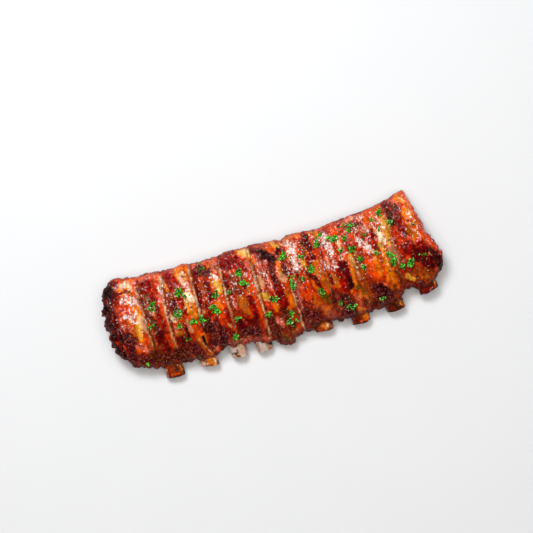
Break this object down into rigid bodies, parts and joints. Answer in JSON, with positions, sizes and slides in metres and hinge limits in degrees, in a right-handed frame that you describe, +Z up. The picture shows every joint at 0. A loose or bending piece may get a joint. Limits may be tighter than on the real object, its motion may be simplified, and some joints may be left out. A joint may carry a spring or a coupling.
{
  "type": "rack of ribs",
  "caption": "Cooked rack of pork back ribs lying meat side up, with rib bones that run through the meat and stand out along one edge.",
  "frame": {"origin": "centre of the rack's box in plan, on the surface that the rack lies on", "axes": "+X along the rack from the rounded charred end to the cut end, +Y from the bone stubs to the thick loin edge, +Z up out of the meat side"},
  "size_m": [0.2644, 0.0942, 0.0276],
  "materials": {
    "meat": "glazed, browned and charred in patches",
    "bone": "roasted, with darker sawn ends",
    "herb": "fresh chopped leaves and dried flakes, slightly glossy"
  },
  "bodies": {
    "root": {"meat": "meat", "bone_01": "bone", "bone_02": "bone", "bone_03": "bone", "bone_04": "bone", "bone_05": "bone", "bone_06": "bone", "bone_07": "bone", "bone_08": "bone", "bone_09": "bone", "bone_10": "bone"}
  },
  "joints": []
}
